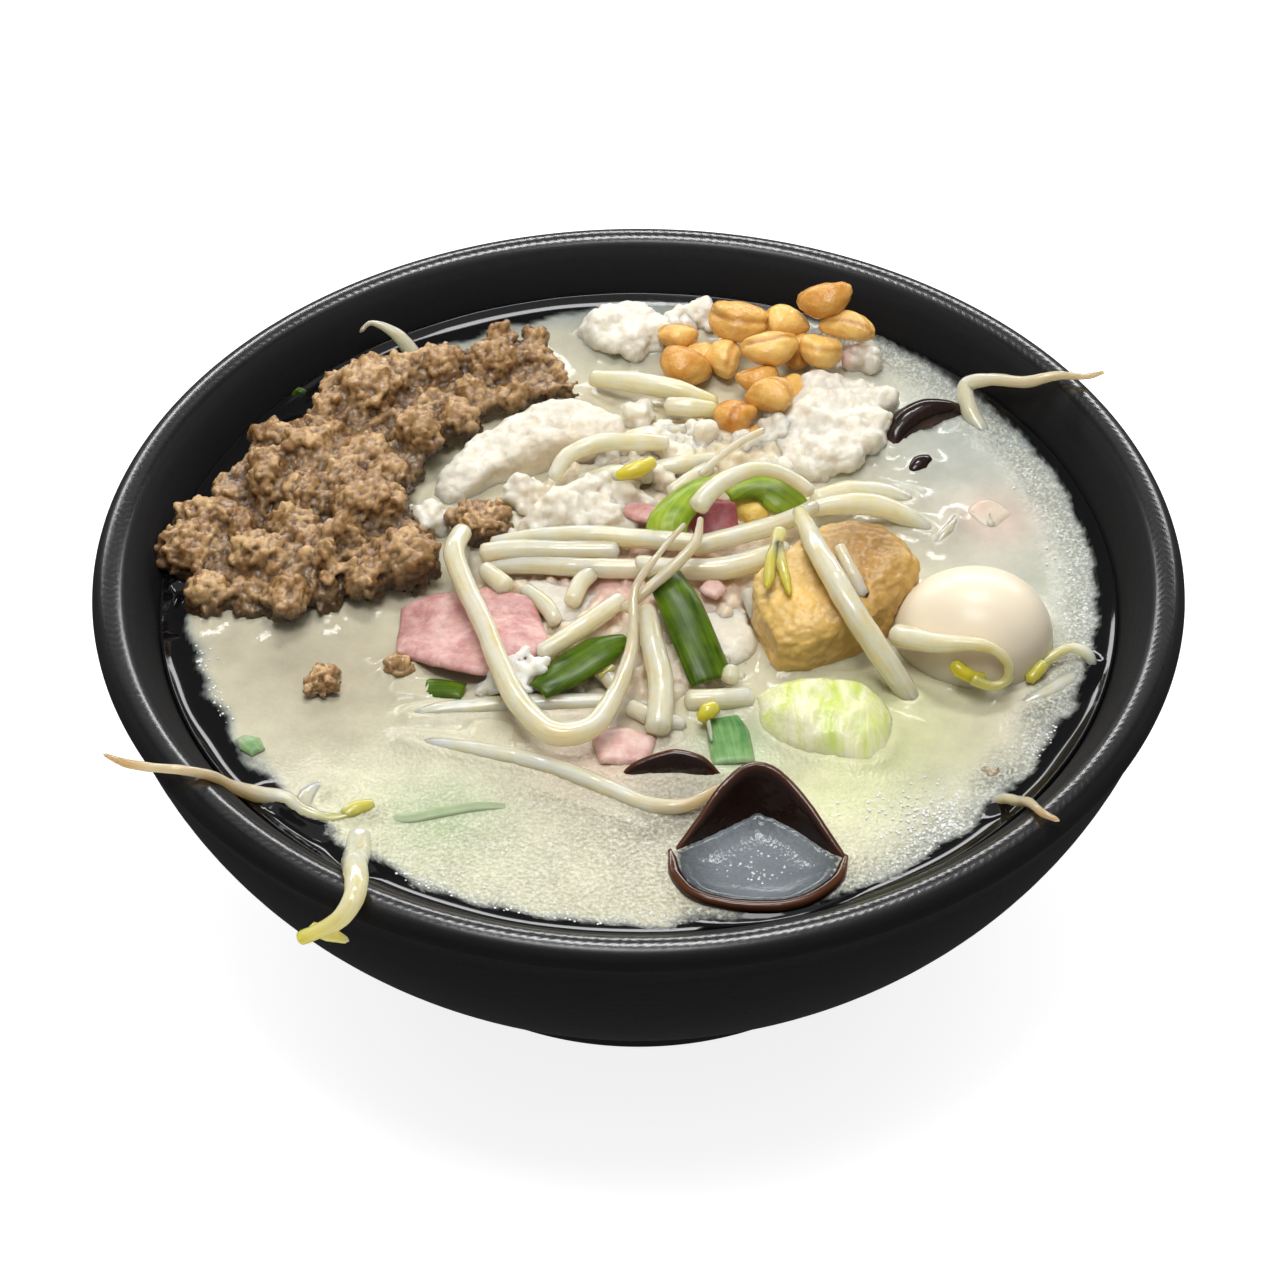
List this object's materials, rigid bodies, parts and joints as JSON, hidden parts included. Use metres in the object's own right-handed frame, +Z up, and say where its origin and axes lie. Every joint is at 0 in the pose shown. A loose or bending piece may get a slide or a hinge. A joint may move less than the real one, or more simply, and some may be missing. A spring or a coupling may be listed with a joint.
{
  "type": "bowl of fish noodle soup",
  "caption": "Black round-lipped bowl on a foot, filled with pale broth under minced meat, fish pieces, bean sprouts, ham, leek, fried tofu, egg, soybeans and wood ear.",
  "frame": {"origin": "centre of the foot's underside, on the surface the bowl stands on", "axes": "+Z up along the bowl's axis; +Y points away from the picture's viewer, so the front is -Y; +X to the viewer's right"},
  "size_m": [0.209, 0.2096, 0.0852],
  "materials": {
    "bowl": "satin",
    "broth": "gloss",
    "bean_sprout": "satin",
    "fish": "satin",
    "mince": "satin",
    "fried_soybean": "gloss",
    "ham": "satin",
    "leek": "satin",
    "fried_tofu": "satin",
    "egg_white": "satin",
    "cabbage": "satin",
    "wood_ear": "gloss"
  },
  "bodies": {
    "root": {"bowl": "bowl", "broth": "broth", "sprout_left_rim": "bean_sprout", "sprout_front_rim": "bean_sprout", "sprout_right_rim": "bean_sprout", "sprout_right_low": "bean_sprout", "sprout_back_left": "bean_sprout", "sprout_over_tofu": "bean_sprout", "sprout_loop": "bean_sprout", "sprout_root_over": "bean_sprout", "sprout_arch": "bean_sprout", "sprout_band_upper": "bean_sprout", "sprout_band_lower": "bean_sprout", "sprout_band_left": "bean_sprout", "sprout_stub_tofu": "bean_sprout", "sprout_on_egg": "bean_sprout", "sprout_edge_right": "bean_sprout", "sprout_root_back": "bean_sprout", "sprout_on_fish": "bean_sprout", "sprout_back": "bean_sprout", "sprout_stub_front": "bean_sprout", "sprout_diagonal": "bean_sprout", "sprout_short": "bean_sprout", "sprout_flared": "bean_sprout", "sprout_wet_upper": "bean_sprout", "sprout_wet_long": "bean_sprout", "sprout_short_right": "bean_sprout", "leek_light": "leek", "leek_long": "leek", "leek_flat": "leek", "leek_curl": "leek", "leek_left": "leek", "leek_sunk": "leek", "ham_slice": "ham", "ham_fold": "ham", "ham_sunk": "ham", "mince_lump_ham": "mince", "mince_lump_soup": "mince", "mince_lump_middle": "mince", "mince_heap": "mince", "quail_egg": "egg_white", "tofu_puff": "fried_tofu", "tofu_small": "fried_tofu", "fish_upper_right": "fish", "fish_right": "fish", "fish_arch": "fish", "fish_crumb": "fish", "fish_middle": "fish", "fish_bit": "fish", "fish_front": "fish", "fish_slice": "fish", "fish_slice_round": "fish", "fish_crumbs": "fish", "fish_back": "fish", "cabbage": "cabbage", "wood_ear_small": "wood_ear", "wood_ear_right": "wood_ear", "wood_ear_bit": "wood_ear", "wood_ear_cup": "wood_ear", "soybean_heap": "fried_soybean"}
  },
  "joints": []
}
